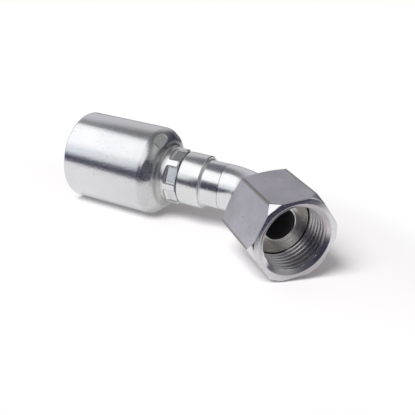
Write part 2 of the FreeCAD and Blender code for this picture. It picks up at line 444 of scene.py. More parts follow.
@dataclass
class TurnedSurface:
    """A surface turned about the path from a row of profile points, here of (along, radius)."""

    name: str
    points: Sequence[Point]
    steps: int = 144
    sizes: dict[str, float] = field(default_factory=dict)

    def columns(self, size: Inputs, share: Sock) -> Sock:
        """The share of a full turn at which a column stands: evenly spaced here."""
        return share

    def rule(self, spot: Spot) -> tuple[Sock, Sock]:
        """The place along the path and the radius of a grid point: those of its profile here."""
        return spot.first, spot.second

    def painted_shade(self, spot: Spot) -> Value:
        """How much painted shade a grid point takes, from 0 to 1: none here."""
        return 0.0

    def build(self, path: Path, finish: bpy.types.Material) -> bpy.types.Mesh:
        """Makes the surface with Geometry Nodes.

        Args:
            path: The path that it follows.
            finish: Its material.

        Returns:
            A plain mesh in the row frame, in metres, which keeps "axial" and "radial" in millimetres, and
            "grime", the mask of painted shade.
        """
        tree = bpy.data.node_groups.new(self.name, "GeometryNodeTree")
        values = {"Material": finish, "Rows": len(self.points), "Steps": self.steps, "Spin": 0.0}
        values |= {**path.sizes(), **self.sizes}
        kinds = {"Profile": "Geometry", "Material": "Material", "Rows": "Int", "Steps": "Int"}
        names = {}
        for name in ("Profile", *values):
            kind = "NodeSocket" + kinds.get(name, "Float")
            names[name] = tree.interface.new_socket(name=name, in_out="INPUT", socket_type=kind).identifier
        tree.interface.new_socket(name="Surface", in_out="OUTPUT", socket_type="NodeSocketGeometry")
        self._write(Graph(tree))
        outline = bpy.data.meshes.new(self.name + "_profile")
        outline.from_pydata([(*point, 0.0) for point in self.points], [], [])
        carrier = add_object(self.name + "_carrier", outline)
        modifier = carrier.modifiers.new("turn", "NODES")
        modifier.node_group = tree
        for name, value in values.items():
            modifier[names[name]] = value
        depsgraph = bpy.context.evaluated_depsgraph_get()
        mesh = bpy.data.meshes.new_from_object(carrier.evaluated_get(depsgraph), depsgraph=depsgraph)
        carrier.modifiers.remove(modifier)
        bpy.data.objects.remove(carrier)
        return mesh

    def _write(self, graph: Graph) -> None:
        """Writes the tree: a grid whose rows are the profile's points, turned and laid in place.

        Args:
            graph: The empty tree.
        """
        start = graph.make("NodeGroupInput")
        size = {s.name: start.also(s.name) for s in start.out.node.outputs if s.name}
        columns = size["Steps"] + 1
        shape = graph.make("GeometryNodeMeshGrid", {"Vertices X": size["Rows"], "Vertices Y": columns})
        index = graph.make("GeometryNodeInputIndex")
        row = ((index + 0.5) / columns).floor()
        turn = self.columns(size, (index - row * columns) / size["Steps"])
        asked = {"Geometry": size["Profile"], "Value": graph.make("GeometryNodeInputPosition"), "Index": row}
        sample = graph.make("GeometryNodeSampleIndex", asked, data_type="FLOAT_VECTOR", domain="POINT")
        first, second, _ = graph.parts(sample)
        spot = Spot(size, first, second, turn)
        along, radius = self.rule(spot)
        for name, value in (("axial", along), ("radial", radius), ("painted_shade", self.painted_shade(spot))):
            stored = {"Geometry": shape, "Name": name, "Value": value}
            shape = graph.make("GeometryNodeStoreNamedAttribute", stored, data_type="FLOAT", domain="POINT")
        laid = Path.lay(graph, size, along, radius, turn * math.tau + size["Spin"])
        for kind, more in (
            ("SetPosition", {"Position": laid}),
            ("MergeByDistance", {"Distance": MERGE}),
            ("RealizeInstances", {}),
            ("SetMaterial", {"Material": size["Material"]}),
        ):
            shape = graph.make("GeometryNode" + kind, {"Geometry": shape, **more})
        graph.make("NodeGroupOutput", {"Surface": shape})


@dataclass
class StakedSurface(TurnedSurface):
    """A turned surface with pockets pressed into its neck, each with a ramp at its inner end."""

    outline_past = 0.3
    outline_round = 0.8
    outline_fade = (0.10, 0.34)
    root_fade = (0.4, 1.8)
    root_shade = 0.6
    shoulder_fade = (-8.0, -5.0)
    shoulder_shade = 0.3

    @staticmethod
    def _angle(size: Inputs, turn: Sock) -> Sock:
        """The angle from the middle of the nearest pocket."""
        pitch = math.tau / size["Stake Count"]
        return ((turn * math.tau - size["Stake Phase"]) / pitch + 0.5).fract() * pitch - pitch / 2

    def painted_shade(self, spot: Spot) -> Value:
        """Paints shade on the shoulder, its root and the pockets' outlines, rounded at their inner corners.

        Args:
            spot: The grid point.

        Returns:
            How much painted shade it takes.
        """
        size, along, radius, turn = spot
        side = abs(radius * self._angle(size, turn).sin()) - size["Stake Width"] / 2
        short = size["Stake Start"] + self.outline_past - along
        outer, inner = (side + self.outline_round).most(0.0), (short + self.outline_round).most(0.0)
        line = abs((outer * outer + inner * inner).root() - self.outline_round)
        on_neck = along < size["Stake Start"] + size["Stake Length"]
        outline = (1.0 - line.smooth(*self.outline_fade)) * on_neck
        root = 1.0 - abs(along - size["Root"]).smooth(*self.root_fade)
        first, last = (size["Root"] + reach for reach in self.shoulder_fade)
        shoulder = along.smooth(first, last) * (along < size["Stake Start"])
        return outline.most(root * self.root_shade).most(shoulder * self.shoulder_shade)

    def rule(self, spot: Spot) -> tuple[Sock, Sock]:
        """Sinks the neck to the pockets' floors and ramps, with soft edges.

        Args:
            spot: The grid point.

        Returns:
            Its place along the path and its radius.
        """
        size, along, radius, turn = spot
        angle = self._angle(size, turn)
        soft = size["Stake Edge"]
        inside = (size["Stake Width"] / 2 - abs(radius * angle.sin())).smooth(-soft / 2, soft / 2)
        ramp = (size["Stake Start"] + size["Stake Ramp"] - along).most(0.0) * size["Ramp Slope"]
        sunk = (radius - (size["Stake Floor"] + ramp) / angle.cos()).most(0.0)
        return along, radius - inside * sunk


@dataclass
class NutSurface(TurnedSurface):
    """A turned surface whose columns crowd towards the corners of a hexagon."""

    steps: int = 192

    def columns(self, size: Inputs, share: Sock) -> Sock:
        """Moves the columns towards the six corners, which stand at each sixth of a turn.

        Args:
            size: The tree's inputs.
            share: The share of a turn of an evenly spaced column.

        Returns:
            The share of a turn at which the column stands.
        """
        sixth = (share * SIDES + NUDGE).floor()
        within = share * SIDES - sixth
        return (sixth + within - (within * math.tau).sin() * size["Crowding"] / math.tau) / SIDES

    @staticmethod
    def off_corner(turn: Sock) -> Sock:
        """How far a column stands from the nearest corner, where the middle of a flat is at 0.5."""
        within = (turn * SIDES + NUDGE).fract()
        return within.least(1.0 - within)


@dataclass
class HexSurface(NutSurface):
    """The outside of a hexagonal nut, with a chamfer at its end.

    A profile point holds (share of the chamfer, distance past it). A share below 0 lies on the end
    face, and -1 is its inner circle.
    """

    ridge_fade = (0.15, 0.7)
    past_chamfer = 0.999

    def painted_shade(self, spot: Spot) -> Value:
        """Paints a dark line of shade along the ridges between the flats, and none on the chamfer."""
        away = self.off_corner(spot.turn) * (spot.size["Flats"] / 2)
        return (1.0 - away.smooth(*self.ridge_fade)) * (1.0 - (spot.first < self.past_chamfer))

    def rule(self, spot: Spot) -> tuple[Sock, Sock]:
        """Follows the end face, the cone that cuts the corners, and the flats with rounded corners.

        Args:
            spot: The grid point.

        Returns:
            Its place along the path and its radius.
        """
        size, share, past, turn = spot
        flat, soft = size["Flats"] / 2, size["Corner Round"]
        corner = self.off_corner(turn) * (math.pi / 3)
        centre = (flat - soft) / math.cos(math.pi / 6)
        beside = centre * corner.sin()
        rounded = centre * corner.cos() + (soft * soft - beside * beside).root()
        edge = (soft / 2) / (centre + soft * math.cos(math.pi / 6))
        at_corner = corner < edge
        outline = rounded * at_corner + flat / (math.pi / 6 - corner).cos() * (1.0 - at_corner)
        cut = (outline - size["Face Radius"]).most(0.0) * size["Chamfer Slope"]
        inset = (share.most(0.0) * cut + past).most(0.0).least(size["Half Length"])
        cone = size["Face Radius"] + inset / size["Chamfer Slope"]
        gap = (size["Edge Blend"] - abs(outline - cone)).most(0.0)
        short = (size["Edge Round"] - inset).most(0.0)
        radius = outline.least(cone) - gap * gap / (4.0 * size["Edge Blend"])
        radius = radius - short * short / (2.0 * size["Edge Round"])
        radius = radius + (radius - size["Inner Circle"]) * share.least(0.0)
        return size["End"] + inset * size["Inwards"], radius


@dataclass
class ThreadSurface(NutSurface):
    """A right-hand internal thread between two cones.

    A profile point holds (turns, share of the pitch).
    """

    crest_share = 0.25
    flank_share = 0.625
    flank_straight = 0.6
    mouth_soft = 0.1
    flare_fade = (-0.2, 0.1)

    @staticmethod
    def _wound(spot: Spot) -> Sock:
        """The place along the path of a point of the helix."""
        return spot.size["Thread Start"] + (spot.first + spot.turn - 1.0) * spot.size["Pitch"]

    @staticmethod
    def _flare(size: Inputs, along: Sock) -> Sock:
        """The radius of the flared mouth's cone."""
        return size["Mouth"] - (size["Thread End"] - along) / size["Mouth Slope"]

    def rule(self, spot: Spot) -> tuple[Sock, Sock]:
        """Winds the rows into a helix and cuts them off at both ends.

        Args:
            spot: The grid point.

        Returns:
            Its place along the path and its radius.
        """
        size = spot.size
        along = self._wound(spot).most(size["Thread Start"]).least(size["Thread End"])
        flank = (abs(spot.second - 0.5) * 2.0 - self.crest_share) / self.flank_share
        flank = flank.most(0.0).least(1.0)
        height = flank * self.flank_straight + flank.smooth(0.0, 1.0) * (1.0 - self.flank_straight)
        radius = size["Minor"] + (size["Major"] - size["Minor"]) * height
        radius = radius.soft_most(self._flare(size, along), self.mouth_soft)
        return along, radius.most(size["Relief"] - (along - size["Thread Start"]))

    def painted_shade(self, spot: Spot) -> Value:
        """Paints slight shade on the turns, and none on the flare."""
        first, last = (spot.size["Minor"] + reach for reach in self.flare_fade)
        return 1.0 - self._flare(spot.size, self._wound(spot)).smooth(first, last)


# Finishes


# The olive that painted shade is tinted towards.
SHADE_OLIVE: Colour = (0.58, 0.56, 0.42)


class Grain(Enum):
    """The marks that the steel had before it was plated."""

    TURNED = "turned"
    DRAWN = "drawn"
    PLAIN = "plain"


@dataclass(frozen=True)
class Mottle:
    """Noise, in waves a millimetre, that rises from 0 to 1 between two of its values."""

    waves: float
    detail: float
    low: float
    high: float

    def write(self, graph: Graph, place: Sock) -> Sock:
        """The mottle at a place in millimetres."""
        return graph.noise(place, self.waves, self.detail).smooth(self.low, self.high)


@dataclass(frozen=True)
class Plating:
    """Bright zinc over steel, which shows the marks of how the steel was made.

    Marks, peel and pits are heights, and pitches and sizes are lengths, in millimetres.
    """

    name: str
    grain: Grain
    colour: Colour
    cloud: Colour
    roughness: float
    drift: float
    marks: float = 0.002
    mark_pitch: float = 0.35
    peel: float = 0.003
    peel_size: float = 0.8
    pits: float = 0.01
    lines: tuple[float, ...] = ()
    line_half: float = 0.06
    shade_dark: float = 0.45
    shaded_rough: float = 0.0
    shaded_peel: float = 0.0
    shade_tint: float = 0.4
    metallic: float = 1.0
    specular: float = 0.5

    clouds = Mottle(0.09, 3.0, 0.35, 0.65)
    specks = Mottle(1.6, 2.0, 0.66, 0.74)
    scuffs = Mottle(1.1, 4.0, 0.58, 0.72)
    scuffed = Mottle(0.12, 1.0, 0.45, 0.62)
    scuff_stretch = (0.25, 1.0, 1.3)
    drawn_stretch = (0.08, 0.08, 1.0)
    drift_waves, drift_detail = 0.5, 3.0
    mark_detail, peel_detail = 2.0, 3.0
    speck_dark, scuff_dark, line_dark = 0.22, 0.12, 0.6
    speck_rough, scuff_rough = 0.15, 0.10
    least_rough = 0.05
    line_soft = 0.12

    def material(self) -> bpy.types.Material:
        """Writes the material.

        Returns:
            The new material.
        """
        made = bpy.data.materials.new(self.name)
        graph = Graph.cleared(made)
        place = graph.scaled(graph.make("ShaderNodeTexCoord", None, "Object"), 1 / MM)
        specks = self.specks.write(graph, place) * float(self.pits > 0)
        scuffs = self.scuffs.write(graph, graph.vector("MULTIPLY", place, self.scuff_stretch))
        scuffs = scuffs * self.scuffed.write(graph, place)
        # Painted shade: where the mesh's mask of painted shade is high, the colour is darkened and tinted
        # olive.
        painted_shade = graph.kept("painted_shade")
        shade = 1.0 - self.speck_dark * specks - self.scuff_dark * scuffs
        shade = shade - (self.line_dark * self._lines(graph)).most(self.shade_dark * painted_shade)
        colour = graph.blend(self.clouds.write(graph, place), self.colour, self.cloud)
        colour = graph.scaled(graph.blend(painted_shade * self.shade_tint, colour, SHADE_OLIVE), shade)
        drift = graph.noise(place, self.drift_waves, self.drift_detail) - 0.5
        roughness = self.roughness + self.drift * drift
        roughness = roughness + self.scuff_rough * scuffs + self.speck_rough * specks
        roughness = roughness + self.shaded_rough * painted_shade
        sockets = {
            "Base Color": colour,
            "Metallic": self.metallic,
            "Specular IOR Level": self.specular,
            "Roughness": roughness.most(self.least_rough),
            "Normal": self._relief(graph, place, specks, painted_shade),
        }
        shader = graph.make("ShaderNodeBsdfPrincipled", sockets)
        graph.make("ShaderNodeOutputMaterial", {"Surface": shader})
        return made

    def _lines(self, graph: Graph) -> Sock:
        """Thin dark lines round the piece.

        Args:
            graph: The material's tree.

        Returns:
            Their strength, from 0 to 1, with a line at each place along the path that the finish lists.
        """
        along = graph.kept("axial")
        made = along * 0.0
        first, last = self.line_half, self.line_half + self.line_soft
        for place in self.lines:
            made = made.most(1.0 - abs(along - place).smooth(first, last))
        return made

    def _relief(self, graph: Graph, place: Sock, specks: Sock, painted_shade: Sock) -> Sock:
        """The fine relief of the plating and of the steel under it.

        Args:
            graph: The material's tree.
            place: Object coordinates in millimetres.
            specks: The strength of the small pits.
            painted_shade: The mask of painted shade, which also raises the peel here.

        Returns:
            The bumped normal.
        """
        track = place
        if self.grain is Grain.TURNED:
            track = graph.xyz(graph.kept("axial"), graph.kept("radial"), 0.0)
        elif self.grain is Grain.DRAWN:
            track = graph.vector("MULTIPLY", place, self.drawn_stretch)
        marks = graph.noise(track, 1 / self.mark_pitch, self.mark_detail) * self.marks
        peel = graph.noise(place, 1 / self.peel_size, self.peel_detail)
        peel = peel * (self.peel + self.shaded_peel * painted_shade)
        height = marks + peel - specks * self.pits
        return graph.make("ShaderNodeBump", {"Strength": 1.0, "Distance": MM, "Height": height})


# Painted shade: the bores are painted near black and matt, standing in for the shade deep inside them.
PAINTED_SHADE_BORE = Plating(
    "painted_shade_bore", Grain.PLAIN, (0.11, 0.11, 0.12), (0.085, 0.085, 0.095), roughness=0.9, drift=0.1,
    peel=0.001, metallic=0.0, specular=0.0,
)


# Pieces


Skins = list[tuple[TurnedSurface, Plating]]


@dataclass
class Piece:
    """A separate physical piece, remade over its solid."""

    path: Path

    node = ""
    slot = ""
    body = "fitting"
    weld = 2e-6
    crease_degrees = 28

    def surfaces(self) -> Skins:
        """The surfaces that close the piece, each with its finish."""
        raise NotImplementedError

    def build(self) -> bpy.types.Object:
        """Builds the piece, dresses it and ties it to its body.

        Returns:
            The finished object.
        """
        finishes: dict[str, bpy.types.Material] = {}
        solid = bmesh.new()
        for surface, plating in self.surfaces():
            if plating.name not in finishes:
                finishes[plating.name] = plating.material()
            mesh = surface.build(self.path, finishes[plating.name])
            slot = list(finishes).index(plating.name)
            mesh.polygons.foreach_set("material_index", [slot] * len(mesh.polygons))
            solid.from_mesh(mesh)
        bmesh.ops.remove_doubles(solid, verts=solid.verts, dist=self.weld)
        bmesh.ops.dissolve_degenerate(solid, edges=solid.edges, dist=self.weld / 2)
        bmesh.ops.recalc_face_normals(solid, faces=solid.faces)
        open_edges = sum(1 for edge in solid.edges if len(edge.link_faces) != 2)
        mesh = bpy.data.meshes.new(self.node + "_plated")
        for material in finishes.values():
            mesh.materials.append(material)
        solid.to_mesh(mesh)
        solid.free()
        mesh.polygons.foreach_set("use_smooth", [True] * len(mesh.polygons))
        mesh.set_sharp_from_angle(angle=math.radians(self.crease_degrees))
        made = add_object(self.node + "_plated", mesh)
        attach(made, self.body)
        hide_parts(self.node)
        triangles = sum(len(p.vertices) - 2 for p in mesh.polygons)
        LOG.info("%s: %d triangles, %d open edges, rides on %s", made.name, triangles, open_edges, self.body)
        return made


@dataclass
class CrimpShell(Piece):
    """The thick-walled cup that is pressed on the hose, with its staked neck."""

    outer_d: float = 36.6
    wall: float = 3.2
    straight: float = 34.4
    rim_round: float = 0.9
    cavity_past_straight: float = 2.1
    cavity_bevel: float = 1.5
    tooth_count: int = 6
    tooth_margin: float = 5.0
    tooth_land: float = 1.5
    tooth_height: float = 1.1
    convex: float = 6.0
    concave: float = 1.6
    shoulder_degrees: float = 78.0
    seat_wall: float = 2.75
    neck_wall: float = 2.7
    neck_length: float = 6.1
    neck_edge: float = 0.4
    stake_count: int = 7
    stake_phase: float = 18.6
    stake_width: float = 7.4
    stake_depth: float = 1.2
    stake_length: float = 5.1
    stake_ramp: float = 1.2
    stake_edge: float = 0.5
    steps: int = 336

    node = "crimp_shell"
    slot = "plated_shell"
    row_step = 0.12
    face_step = 0.25
    edge_soft = 0.15
    past_shoulder = 0.2

    def __post_init__(self) -> None:
        """Works out what follows from the sizes."""
        self.outer_r = self.outer_d / 2
        self.cavity_r = self.outer_r - self.wall
        self.seat_r = self.path.bore_r + self.seat_wall
        self.neck_r = self.seat_r + self.neck_wall
        # The shoulder's angle from a plain face, and how far its straight flank comes down.
        self.steep = math.radians(90 - self.shoulder_degrees)
        rounds = self.convex + self.concave
        drop = self.outer_r - self.neck_r - rounds * (1 - math.sin(self.steep))
        self.shoulder_end = self.straight + (rounds * math.cos(self.steep) + drop * math.tan(self.steep))
        self.end = self.shoulder_end + self.neck_length
        self.cavity_depth = self.straight + self.cavity_past_straight
        self.cavity_floor = self.cavity_depth - self.cavity_bevel

    def outside(self) -> list[Point]:
        """The profile of the outside, from the open end's face to the neck's end.

        Returns:
            The points, close together where the stakes are.
        """
        steep = math.degrees(self.steep)
        rim = (self.rim_round, self.outer_r - self.rim_round)
        neck = (self.end - self.neck_edge, self.neck_r)
        return [
            *arc(rim, self.rim_round, 180, 90, 9),
            *arc((self.straight, self.outer_r - self.convex), self.convex, 90, steep, 25),
            *arc((self.shoulder_end, self.neck_r + self.concave), self.concave, 180 + steep, 270, 13),
            *run((self.shoulder_end + self.past_shoulder, self.neck_r), neck, self.row_step),
            *run(neck, (self.end, self.neck_r - self.neck_edge), self.row_step)[1:],
            *run((self.end, self.neck_r - self.neck_edge), (self.end, self.seat_r), self.face_step)[1:],
        ]

    def inside(self) -> list[Point]:
        """The profile of the inside, from the neck's bore to the open end, with the gripping rings.

        Returns:
            The points, in the order that carries on from the outside.
        """
        pitch = (self.cavity_floor - 2 * self.tooth_margin) / (self.tooth_count - 1)
        crest = self.cavity_r - self.tooth_height
        points = [(self.cavity_depth, self.seat_r), (self.cavity_depth, self.cavity_r - self.cavity_bevel)]
        points.append((self.cavity_floor, self.cavity_r))
        for index in reversed(range(self.tooth_count)):
            middle = self.tooth_margin + pitch * index
            land = self.tooth_land / 2
            foot = land + self.tooth_height
            points += [(middle + foot, self.cavity_r), (middle + land, crest)]
            points += [(middle - land, crest), (middle - foot, self.cavity_r)]
        points += [(self.rim_round / 2, self.cavity_r), (0.0, self.cavity_r + self.rim_round / 2)]
        return soften(points, self.edge_soft)

    def surfaces(self) -> Skins:
        """Draws the shell.

        Returns:
            Its closed surface, with its finish.
        """
        points = [*self.outside(), *self.inside()]
        sizes = {
            "Stake Count": float(self.stake_count),
            "Stake Phase": math.radians(self.stake_phase),
            "Stake Width": self.stake_width,
            "Stake Floor": self.neck_r - self.stake_depth,
            "Stake Start": self.end - self.stake_length,
            "Stake Length": self.stake_length,
            "Stake Ramp": self.stake_ramp,
            "Ramp Slope": self.stake_depth / self.stake_ramp,
            "Stake Edge": self.stake_edge,
            "Root": self.shoulder_end - self.concave / 2,
        }
        finish = Plating(
            "bright_turned_zinc", Grain.TURNED, (0.76, 0.765, 0.785), (0.73, 0.735, 0.775),
            roughness=0.20, drift=0.06, peel=0.034, peel_size=0.9, shaded_rough=0.24, shaded_peel=0.035,
        )
        return [(StakedSurface("crimp_shell", [*points, points[0]], self.steps, sizes), finish)]


@dataclass
class HoseStem(Piece):
    """The barbed tail inside the shell and the collar that takes the tube."""

    shell: CrimpShell
    tail_recess: float = 1.5
    barb_crest_d: float = 16.8
    barb_height: float = 0.7
    barb_count: int = 7
    barb_margin: float = 2.7
    collar_wall: float = 1.5
    collar_length: float = 9.4
    collar_edge: float = 0.35
    split_width: float = 0.5
    split_depth: float = 0.7
    socket_depth: float = 6.0

    node = "hose_stem"
    slot = "plated_tube"
    edge_soft = 0.12
    bore_step = 8.0

    def __post_init__(self) -> None:
        """Works out what follows from the sizes."""
        self.collar_r = self.path.tube_r + self.collar_wall
        self.collar_start = self.shell.end + self.split_width
        self.collar_end = self.collar_start + self.collar_length

    def surfaces(self) -> Skins:
        """Draws the stem.

        Returns:
            Its outside and its bore, each with its finish.
        """
        shell, bore, tube = self.shell, self.path.bore_r, self.path.tube_r
        crest = self.barb_crest_d / 2
        root = crest - self.barb_height
        pitch = (shell.cavity_floor - self.barb_margin - self.tail_recess) / self.barb_count
        points = [(self.tail_recess, bore), (self.tail_recess, root)]
        for index in range(self.barb_count):
            peak = self.tail_recess + pitch * (index + 1)
            points += [(peak - self.barb_height, crest), (peak, root)]
        points += [
            (shell.cavity_floor, root),
            (shell.cavity_depth, shell.seat_r),
            (shell.end, shell.seat_r),
            (shell.end, self.collar_r - self.split_depth),
            (self.collar_start, self.collar_r - self.split_depth),
            (self.collar_start, self.collar_r - self.collar_edge),
            (self.collar_start + self.collar_edge, self.collar_r),
            (self.collar_end - self.collar_edge, self.collar_r),
            (self.collar_end, self.collar_r - self.collar_edge),
            (self.collar_end, tube),
            (self.collar_end - self.socket_depth, tube),
            (self.collar_end - self.socket_depth, bore),
        ]
        finish = Plating(
            "bright_collar_zinc", Grain.TURNED, (0.77, 0.775, 0.78), (0.74, 0.745, 0.77),
            roughness=0.23, drift=0.06, peel=0.008, peel_size=1.4,
            lines=(shell.end + self.split_width / 2,), line_half=self.split_width / 2,
        )
        outside = soften(points, self.edge_soft)
        inside = [outside[-1], *run(points[-1], points[0], self.bore_step)[1:]]
        return [
            (TurnedSurface("stem_outside", outside), finish),
            (TurnedSurface("stem_bore", inside), PAINTED_SHADE_BORE),
        ]


@dataclass
class CollarBraze(Piece):
    """The braze bead between the collar's end face and the tube."""

    stem: HoseStem
    leg: float = 0.7

    node = "collar_braze"
    slot = "braze"

    def surfaces(self) -> Skins:
        """Draws the bead.

        Returns:
            Its closed surface, with its finish.
        """
        end, tube = self.stem.collar_end, self.path.tube_r
        hollow = arc((end + self.leg, tube + self.leg), self.leg, 180, 270, 7)
        points = [(end, tube), *hollow, (end, tube)]
        finish = Plating(
            "plated_braze", Grain.PLAIN, (0.84, 0.84, 0.83), (0.74, 0.74, 0.75),
            roughness=0.38, drift=0.10, marks=0.01, mark_pitch=0.9, peel=0.01,
        )
        return [(TurnedSurface("collar_braze", points), finish)]


@dataclass
class BentTube(Piece):
    """The tube from the collar's socket through the bend into the seal sleeve."""

    stem: HoseStem
    wall: float = 3.0
    face_at: float = 20.1
    sleeve_lip: float = 3.0
    notch_width: float = 0.3
    notch_depth: float = 0.05

    node = "bent_tube"
    slot = "plated_tube"
    past_notch = 0.6
    bend_step = 0.55
    line_half = 0.08

    def __post_init__(self) -> None:
        """Works out where the tube starts and ends, along the path."""
        self.start = self.stem.collar_end - self.stem.socket_depth
        self.end = self.path.bend_end + self.face_at - self.sleeve_lip

    def surfaces(self) -> Skins:
        """Draws the tube, with the fine line that the bending die left.

        Returns:
            Its outside and its bore, each with its finish.
        """
        outer, bend, bend_end = self.path.tube_r, self.path.bend_start, self.path.bend_end
        inner, half = outer - self.wall, self.notch_width / 2
        there = [
            (self.start, inner),
            (self.start, outer),
            (bend - half, outer),
            (bend, outer - self.notch_depth),
            (bend + half, outer),
            *run((bend + self.past_notch, outer), (bend_end, outer), self.bend_step),
            (self.end, outer),
            (self.end, inner),
        ]
        bore = run((bend_end, inner), (bend, inner), self.bend_step)
        back = [(self.end, inner), *bore, (self.start, inner)]
        finish = Plating(
            "bright_tube_zinc", Grain.PLAIN, (0.77, 0.775, 0.79), (0.73, 0.74, 0.78),
            roughness=0.22, drift=0.05, marks=0.0015, mark_pitch=1.4, peel=0.010, peel_size=1.6,
            lines=(bend,), line_half=self.line_half,
        )
        return [
            (TurnedSurface("tube_outside", there), finish),
            (TurnedSurface("tube_bore", back), PAINTED_SHADE_BORE),
        ]


@dataclass
class SealSleeve(Piece):
    """The flat-faced head on the tube's end that the nut pulls against its mate."""

    tube: BentTube
    length: float = 8.0
    wall: float = 2.27
    bevel: float = 0.9
    edge: float = 0.3
    bore_edge: float = 0.4
    groove_pitch: float = 1.7
    groove_depth: float = 0.03

    node = "seal_sleeve"
    slot = "seal_face"
    groove_rows = 6
    edge_soft = 0.1

    def __post_init__(self) -> None:
        """Works out the places of the seal face and of the back, and the outer radius."""
        self.face = self.path.bend_end + self.tube.face_at
        self.back = self.face - self.length
        self.outer_r = self.path.tube_r + self.wall

    def grooves(self) -> list[Point]:
        """The fine turned grooves of the seal face, from its outer edge to the bore's.

        Returns:
            Points that stay on the face or just under it.
        """
        first, last = self.outer_r - self.edge, self.path.bore_r + self.bore_edge
        count = round((first - last) / self.groove_pitch) * self.groove_rows
        points = []
        for step in range(1, count):
            depth = self.groove_depth * (0.5 - 0.5 * math.cos(math.tau * step / self.groove_rows))
            points.append((self.face - depth, first + (last - first) * step / count))
        return points

    def surfaces(self) -> Skins:
        """Draws the sleeve.

        Returns:
            Its outside with the seal face, and its bore, each with its finish.
        """
        lip = self.face - self.tube.sleeve_lip
        bore, tube, outer = self.path.bore_r, self.path.tube_r, self.outer_r
        back = [
            (lip, bore),
            (lip, tube),
            (self.back, tube),
            (self.back, outer - self.bevel),
            (self.back + self.bevel, outer),
            (self.face - self.edge, outer),
            (self.face, outer - self.edge),
        ]
        mouth = arc((self.face - self.bore_edge, bore + self.bore_edge), self.bore_edge, 360, 270, 7)
        points = [*soften(back, self.edge_soft), *self.grooves(), *mouth]
        finish = Plating(
            "turned_seat_zinc", Grain.TURNED, (0.90, 0.895, 0.83), (0.82, 0.79, 0.71),
            roughness=0.20, drift=0.04, marks=0.0003, mark_pitch=0.9, peel=0.0, pits=0.0,
        )
        return [
            (TurnedSurface("seat", points), finish),
            (TurnedSurface("seat_bore", [mouth[-1], back[0]]), PAINTED_SHADE_BORE),
        ]


